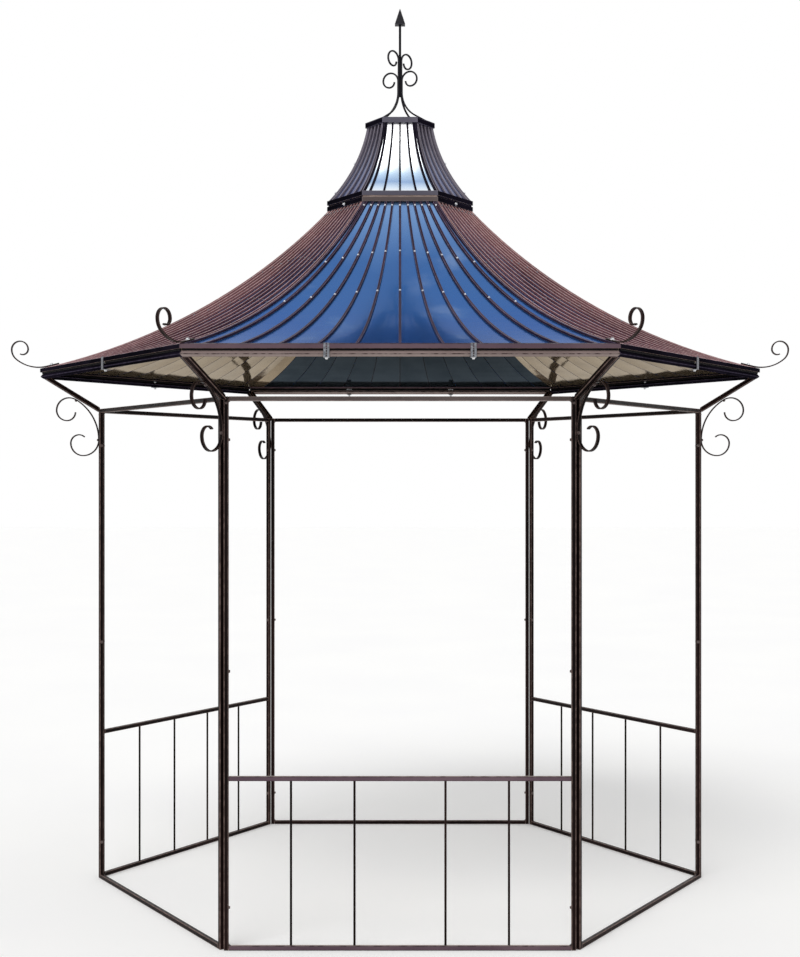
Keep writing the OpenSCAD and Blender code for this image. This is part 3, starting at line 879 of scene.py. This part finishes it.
# %% Lantern strips
LANTERN_SHARES = [-0.82, -0.44, 0.0, 0.44, 0.82]
LANTERN_SEAM, LANTERN_CROWN = 0.003, 0.002
lantern_ends = (lantern_v, collar_v - BAND)
lantern_strips = strips(
    "lantern_sheets", LANTERN_SHARES, lantern, lantern_ends, LANTERN_SEAM, LANTERN_CROWN,
)
turned = []
for k in range(6):
    for part in lantern_strips:
        copy = part.copy()
        bmesh.ops.transform(copy, matrix=side_turn(k), verts=copy.verts)
        turned.append(copy)
bm = join(turned)
bmesh.ops.recalc_face_normals(bm, faces=bm.faces)
two_faced(bm)
# Painted reflections: the sky's in front and behind, a dimmer one on the four slanting sides.
for face in bm.faces:
    at = face.calc_center_median()
    if face.material_index == 0 and on_slant(at):
        face.material_index = 2
finishes = [painted_sky_steel, slate_and_shade_primer, dim_reflection_steel]
piece("lantern_strips", bm, finishes, ["lantern_sheets"])

# %% [markdown]
# ## Bent bars
#
# The scrolls and the finial are flat bar bent over a former in a few arcs, each tighter than
# the last. That is what spin does: it turns an outline round a centre and leaves a skin
# behind. The outline is a small rectangle with its corners cut, and the end of one arc is the
# start of the next, whose centre lies square to the bar.

# %% Bending
FINE_TURN = 4
BAR_ROUND = 0.0008


def section(bm, width, thick):
    """The rounded outline of a flat bar that heads up, as a loop of edges."""
    bmesh.ops.create_grid(bm, x_segments=1, y_segments=1, size=0.5)
    bmesh.ops.scale(bm, vec=(thick, width, 1), verts=bm.verts)
    bmesh.ops.bevel(
        bm, geom=bm.verts[:], offset=BAR_ROUND, segments=2, profile=0.5,
        affect="VERTICES", material=-1,
    )
    bmesh.ops.delete(bm, geom=bm.faces[:], context="FACES_ONLY")
    return bm.edges[:]


def bent_bar(arcs, at, heading, width, thick):
    """A bar in the x-z plane. Each arc is a radius and a turn, both negative for clockwise,
    or a length and no turn."""
    bm = bmesh.new()
    ring = section(bm, width, thick)
    tilt = Matrix.Rotation(radians(heading - 90), 3, (0, -1, 0))
    bmesh.ops.rotate(bm, cent=(0, 0, 0), matrix=tilt, verts=bm.verts)
    bmesh.ops.translate(bm, vec=(at[0], 0, at[1]), verts=bm.verts)
    x, z = at
    for radius, turn in arcs:
        angle = radians(heading)
        if turn == 0:
            made = bmesh.ops.extrude_edge_only(bm, edges=ring)["geom"]
            x, z = x + radius * cos(angle), z + radius * sin(angle)
            push(bm, made, (radius * cos(angle), 0, radius * sin(angle)))
        else:
            centre = Vector((x - radius * sin(angle), 0, z + radius * cos(angle)))
            made = bmesh.ops.spin(
                bm, geom=ring, cent=centre, axis=(0, -1, 0), angle=radians(turn),
                steps=max(2, round(abs(turn) / FINE_TURN)), use_merge=False,
            )["geom_last"]
            heading += turn
            angle = radians(heading)
            x, z = centre.x + radius * sin(angle), centre.z - radius * cos(angle)
        ring = [e for e in made if isinstance(e, bmesh.types.BMEdge)]
    bmesh.ops.holes_fill(bm, edges=[e for e in bm.edges if e.is_boundary], sides=0)
    # The rounded corners carry the edge mark: worn paint and a painted edge line.
    worn = bm.loops.layers.float.new("worn")
    for face in bm.faces:
        narrow = min(edge.calc_length() for edge in face.edges) < BAR_ROUND
        for loop in face.loops:
            loop[worn] = 1.0 if narrow and len(face.verts) == 4 else 0.0
    return bm


def settle(bm, node):
    """Moves a bar in the x-z plane to where the CAD node has its lowest corner."""
    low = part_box(node)[0]
    x, z = (min(getattr(v.co, axis) for v in bm.verts) for axis in "xz")
    shift = Vector((low.x - x, 0, low.z - z))
    bmesh.ops.translate(bm, vec=shift, verts=bm.verts)
    return shift


# %% [markdown]
# ## Corner scrolls
#
# A scroll stands between each pair of posts and the arms above them. It starts in a curl
# under the arms, lies along them, turns down to the posts and ends in a second curl. Its
# slope along the arms is the slope of the roof's lower frame at the corner.

# %% Corner scrolls
STRIP_W, STRIP_T = 0.016, 0.006
hip_pitch = degrees(atan(tan(arm_tilt) * ACROSS))
UPPER_CURL = [(0.042, 90), (0.052, 90), (0.062, 90), (0.070, hip_pitch)]
BACK_BEND = [(0.235, 90 - hip_pitch)]
LOWER_CURL = [(0.078, 90), (0.062, 90), (0.042, 90), (0.038, 45)]


def bar_end(arcs, x, z, heading):
    """Where the middle of a bent bar ends, and its heading there."""
    for radius, turn in arcs:
        x += radius * (sin(radians(heading + turn)) - sin(radians(heading)))
        z -= radius * (cos(radians(heading + turn)) - cos(radians(heading)))
        heading += turn
    return Vector((x, 0, z)), radians(heading)


scroll_holds = []
for arcs in (UPPER_CURL, UPPER_CURL + BACK_BEND):
    at, heading = bar_end(arcs, 0, 0, -90)
    out = Vector((-sin(heading), 0, cos(heading)))
    scroll_holds.append((at + out * STRIP_T / 2, out))
for k, corner in enumerate(CORNERS):
    bm = bent_bar(UPPER_CURL + BACK_BEND + LOWER_CURL, (0, 0), -90, STRIP_W, STRIP_T)
    shift = settle(bm, "corner_scroll_right")
    bmesh.ops.transform(bm, matrix=corner_turn(k), verts=bm.verts)
    node = "corner_scroll_" + corner
    piece("bracket_scroll_" + corner, bm, [frame_paint], [node])

# %% [markdown]
# A second scroll lies on each corner of the roof: a straight foot along the hip, which leaves
# it in a wide arc and ends in a curl outside the eave.

# %% Eave scrolls
BASE_BACK, BASE_LENGTH = 0.095, 0.060
LEAVING = 0.175
EAVE_CURL = [(0.062, 50), (0.042, 90), (0.040, 90), (0.027, 90), (0.024, 30)]


def on_hip(r):
    """Height of the middle of a flat bar that lies on the roof's corner."""
    return roof.height(r * ACROSS, RIB + SEAM + STRIP_T / 2)


base_start, base_end = EAVE_R - BASE_BACK, EAVE_R - BASE_BACK + BASE_LENGTH
fall = degrees(atan2(on_hip(base_end) - on_hip(base_start), BASE_LENGTH))
straight = hypot(BASE_LENGTH, on_hip(base_end) - on_hip(base_start))
for k, corner in enumerate(CORNERS):
    arcs = [(straight, 0), (LEAVING, 40 - fall)] + EAVE_CURL
    bm = bent_bar(arcs, (base_start, on_hip(base_start)), fall, STRIP_W, STRIP_T)
    settle(bm, "eave_scroll_right")
    bmesh.ops.transform(bm, matrix=corner_turn(k), verts=bm.verts)
    node = "eave_scroll_" + corner
    piece("ridge_scroll_" + corner, bm, [frame_paint], [node])

# %% [markdown]
# ## Finial
#
# Four bars stand round a rod, sweep out in an arc to feet on the lantern's cap, and end in
# curls at two heights. The rod ends where they part, and carries a four-sided spear head. The
# bars are bent like the scrolls, and the spear is a copy of the CAD part with its edges eased.

# %% Finial
ROD, BAR_T, BAR_W = 0.012, 0.008, 0.007
FOOT_R, SPLAY_H, SPLAY_RADIUS = 0.133, 0.150, 0.137
bar_r = (ROD + BAR_T) / 2 + SEAM
bend_side = bar_r + SPLAY_RADIUS - FOOT_R
reach = hypot(bend_side, SPLAY_H)
lean = atan2(SPLAY_H, bend_side) + asin(SPLAY_RADIUS / reach) - radians(90)
leg = sqrt(reach ** 2 - SPLAY_RADIUS ** 2)
foot_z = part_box("lantern_cap")[1].z + SEAM + BAR_T / 2 * sin(lean)
curls = {
    "lower": (-22, 0.208, [(-0.042, -90), (-0.038, -90), (-0.034, -90), (-0.026, -90)]),
    "upper": (48, 0.308, [(-0.040, -90), (-0.037, -90), (-0.036, -90), (-0.024, -90)]),
}
for name, (plane, height, curl) in curls.items():
    pair = []
    for turn in (0, 180):
        arcs = [(leg, 0), (-SPLAY_RADIUS, -degrees(lean)), (height - SPLAY_H, 0)] + curl
        bar = bent_bar(arcs, (FOOT_R, foot_z), 90 + degrees(lean), BAR_W, BAR_T)
        spin = Matrix.Rotation(radians(plane + turn), 4, "Z")
        bmesh.ops.transform(bar, matrix=spin, verts=bar.verts)
        pair.append(bar)
    bm = join(pair)
    node = "finial_" + name + "_bars"
    piece("finial_curls_" + name, bm, [finial_paint], [node])

SPEAR_ROUND, SPEAR_EDGE = 0.0015, 0.02
bm = cad_copy("finial_spear")
round_edges(bm, SPEAR_ROUND, longest=SPEAR_EDGE)
piece("spear", bm, [finial_paint], ["finial_spear"])

# %% [markdown]
# ## Eave clips
#
# A strap of perforated zinc strip holds the roof's eave tube on the rail below. The strap is
# a grid whose middle cells are inset to leave a hole each, with the hole's corners cut. Its
# lower edge is pulled inward to make the foot, and the whole sheet then gets its thickness.
# A bolt goes up through the foot, and a small block of packing fills the gap above the rail.

# %% Eave clips
CLIP_W, CLIP_T, CLIP_ROWS = 0.024, 0.0025, 6
HOLE_RIM, HOLE_CUT, FOOT_REACH = 0.0016, 0.0011, 0.026
clip_low, clip_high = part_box("eave_clips")
foot_in = eave_v - SETBACK - FOOT_REACH
CLIP_PLACES = [(0, (-1 / 3, 1 / 3)), (1, (0,)), (2, (0,)), (3, (-1 / 3, 1 / 3)), (4, (0,)), (5, (0,))]


def clip():
    """One clip on side 0, in that side's own axes."""
    bm = bmesh.new()
    bend_z = clip_low.z + CLIP_T / 2
    height = clip_high.z - bend_z
    bmesh.ops.create_grid(bm, x_segments=3, y_segments=CLIP_ROWS, size=0.5)
    bmesh.ops.scale(bm, vec=(CLIP_W, height, 1), verts=bm.verts)
    middle = [f for f in bm.faces if abs(f.calc_center_median().x) < 0.001]
    bmesh.ops.inset_individual(bm, faces=middle, thickness=HOLE_RIM)
    corners = list({v for f in middle for v in f.verts})
    bmesh.ops.bevel(
        bm, geom=corners, offset=HOLE_CUT, segments=1, affect="VERTICES", profile=0.5,
        material=-1,
    )
    holes = [f for f in bm.faces if len(f.verts) == 8]
    bmesh.ops.delete(bm, geom=holes, context="FACES")
    stand = Matrix.Rotation(radians(90), 3, "X")
    bmesh.ops.rotate(bm, cent=(0, 0, 0), matrix=stand, verts=bm.verts)
    at = (0, eave_v + SEAM + CLIP_T / 2, bend_z + height / 2)
    bmesh.ops.translate(bm, vec=at, verts=bm.verts)
    foot = [e for e in bm.edges if all(v.co.z < bend_z + 0.0001 for v in e.verts)]
    pulled = bmesh.ops.extrude_edge_only(bm, edges=foot)["geom"]
    push(bm, pulled, (0, foot_in - eave_v, 0))
    bmesh.ops.recalc_face_normals(bm, faces=bm.faces)
    bmesh.ops.solidify(bm, geom=bm.faces[:], thickness=CLIP_T)
    block = Matrix.Translation((0, eave_v - SETBACK, rail_edge_z + PACKING / 2 - SEAM))
    size = Matrix.Diagonal((CLIP_W, PACKING, PACKING - 3 * SEAM, 1))
    bmesh.ops.create_cube(bm, size=1.0, matrix=block @ size)
    return bm


straps = []
for k, shares in CLIP_PLACES:
    for share in shares:
        bm = clip()
        bmesh.ops.translate(bm, vec=(share * eave_v * HALF, 0, 0), verts=bm.verts)
        bmesh.ops.transform(bm, matrix=side_turn(k), verts=bm.verts)
        straps.append(bm)
piece("clips", join(straps), [dull_and_shaded_zinc], ["eave_clips"])

# %% [markdown]
# ## Eave shade cord
#
# A black rubber cord fills the gap between the rail and the roof's eave tube, a dark piece
# put there as painted shade for that gap. It is a round profile with a flat foot, extruded
# from one packing block to the next.

# %% Eave shade cord
rubber, place, shader = material("gap_shade_rubber", {"Specular IOR Level": 0.05})
bloom = place.noise(60, 3)
drive(
    shader,
    Base_Color=bloom.blend(tone(12, 11, 12), tone(30, 28, 30)),
    Roughness=0.5 + 0.3 * bloom,
)
CORNER_CLEAR, BLOCK_CLEAR, FOOT_SHARE = 0.004, 0.001, 0.8
cord_top = roof.height(eave_v - SETBACK, -EAVE_DROP) - SEAM
cord_low = rail_edge_z - TUBE_ROUND * (sqrt(2) - 1)


def shade_cord(left, right):
    """A length of the cord on side 0."""
    bm = bmesh.new()
    size = (cord_top - cord_low) / (1 + FOOT_SHARE)
    bmesh.ops.create_circle(bm, cap_ends=True, segments=16, radius=size)
    bmesh.ops.bisect_plane(
        bm, geom=bm.verts[:] + bm.edges[:] + bm.faces[:], plane_co=(size * FOOT_SHARE, 0, 0),
        plane_no=(1, 0, 0), clear_outer=True,
    )
    stand = Matrix.Rotation(radians(90), 3, "Y")
    bmesh.ops.rotate(bm, cent=(0, 0, 0), matrix=stand, verts=bm.verts)
    at = (left, eave_v - SETBACK, cord_top - size)
    bmesh.ops.translate(bm, vec=at, verts=bm.verts)
    made = bmesh.ops.extrude_face_region(bm, geom=bm.faces[:])["geom"]
    push(bm, made, (right - left, 0, 0))
    return bm


cords = []
for k, shares in CLIP_PLACES:
    half = (eave_v - SETBACK) * HALF - CORNER_CLEAR
    blocks = [share * eave_v * HALF for share in shares]
    hold = CLIP_W / 2 + BLOCK_CLEAR
    starts = [-half] + [x + hold for x in blocks]
    ends = [x - hold for x in blocks] + [half]
    for left, right in zip(starts, ends):
        bm = shade_cord(left, right)
        bmesh.ops.transform(bm, matrix=side_turn(k), verts=bm.verts)
        cords.append(bm)
piece("eave_shade_cord", join(cords), [rubber])

# %% [markdown]
# ## Bolts and screws
#
# Every fixing is the same small shape at another size: a washer, a six-sided head and its
# broken upper edge, which are three cones. Each stands on a surface, along its normal.

# %% A fixing
HEXAGON = [(14, 0.78, 0.74, 0.0, 0.14), (6, 0.577, 0.577, 0.14, 0.4), (6, 0.577, 0.46, 0.54, 0.1)]
STUD = [(18, 0.5, 0.48, 0.0, 0.1), (18, 0.48, 0.36, 0.1, 0.1), (18, 0.36, 0.12, 0.2, 0.05)]


def fixing(bm, turn, at, along, across, cones=HEXAGON):
    """A head of a width across, made of cones, on a place of a side."""
    stand = Vector(along).to_track_quat("Z", "Y").to_matrix().to_4x4()
    level = turn @ Matrix.Translation(at) @ stand
    for sides, low, high, start, depth in cones:
        lift = Matrix.Translation((0, 0, (start + depth / 2) * across))
        bmesh.ops.create_cone(
            bm, cap_ends=True, segments=sides, radius1=low * across, radius2=high * across,
            depth=depth * across, matrix=level @ lift,
        )


# %% [markdown]
# The posts of neighbouring bays are bolted together at three heights, with a head on the inner
# face of each post. Bolts also hold the collar, the lantern's outer hips, and the scrolls,
# and one closes the top of each post. Those on the frame's own joints are painted over.

# %% Frame bolts
POST_BOLT_Z = (0.180, 1.178, 2.157)
BOLT, STUD_WIDTH, STUD_DROP = 0.010, 0.012, 0.028
bm = bmesh.new()
for k in range(6):
    for way in (-1, 1):
        for z in POST_BOLT_Z:
            fixing(bm, side_turn(k), (way * bay_clear, post_v, z), (-way, 0, 0), BOLT)
        at = (way * (bay_clear + TUBE / 2), post_v + TUBE / 2, RAIL_Z - STUD_DROP)
        fixing(bm, side_turn(k), at, (0, 1, 0), STUD_WIDTH, STUD)
    for at, out in scroll_holds:
        fixing(bm, corner_turn(k), at + shift, out, BOLT)
piece("post_bolts", bm, [band_paint])

# %% Roof bolts
BAND_PROUD, HIP_BOLT_Z, HIP_BOLT = 0.003, (3.420, 3.567), 0.008
SCROLL_BOLT, SCROLL_SHARE = 0.012, 0.6
CLIP_BOLT, CLIP_BOLT_OUT = 0.011, 0.004
bm = bmesh.new()
for k in (1, 2, 4, 5):
    ring_v = (COLLAR_R + BAND_PROUD) * ACROSS
    fixing(bm, side_turn(k), (0, ring_v, collar_band_z + BAND / 2), (0, 1, 0), BOLT)
for k in (1, 4):
    for z in HIP_BOLT_Z:
        v = lantern.v - sqrt((lantern.radius - LANTERN_RIB) ** 2 - (lantern.z - z) ** 2)
        off = lantern.normal(v, LANTERN_RIB)
        way = Vector((off.y / ACROSS, 0, off.z)).normalized()
        fixing(bm, corner_turn(k), (v / ACROSS, 0, z), way, HIP_BOLT)
for k in range(6):
    r = base_start + BASE_LENGTH * SCROLL_SHARE
    lie = Vector((-sin(radians(fall)), 0, cos(radians(fall))))
    at = Vector((r, 0, on_hip(r))) + lie * STRIP_T / 2
    fixing(bm, corner_turn(k), at, lie, SCROLL_BOLT)
for k, shares in CLIP_PLACES:
    for share in shares:
        at = (share * eave_v * HALF, (foot_in + eave_v) / 2 + CLIP_BOLT_OUT, clip_low.z)
        fixing(bm, side_turn(k), at, (0, 0, -1), CLIP_BOLT)
piece("roof_bolts", bm, [zinc])

# %% [markdown]
# The strips are screwed through the ribs, in two rows that hang a little towards the corners
# and a third right under the collar. The screws of the four slanting sides are a darker zinc,
# a painted shade.

# %% Rib screws
SCREW = 0.0065
ROWS = ((0.372, 0.075), (0.645, 0.075), (0.965, 0.0))
bm = bmesh.new()
for k in range(6):
    for share, hang in ROWS:
        for rib in RIB_SHARES:
            z = EAVE_Z + share * (COLLAR_Z - EAVE_Z) - hang * rib ** 2
            v = roof.v - sqrt((roof.radius - RIB) ** 2 - (roof.z - z) ** 2)
            place = (rib * HALF * v, v, z)
            fixing(bm, side_turn(k), place, roof.normal(v, RIB), SCREW)
# Painted shade: the darker zinc on the screws of the four slanting sides.
for face in bm.faces:
    at = face.calc_center_median()
    face.material_index = int(on_slant(at))
piece("rib_screws", bm, [zinc, dull_and_shaded_zinc])
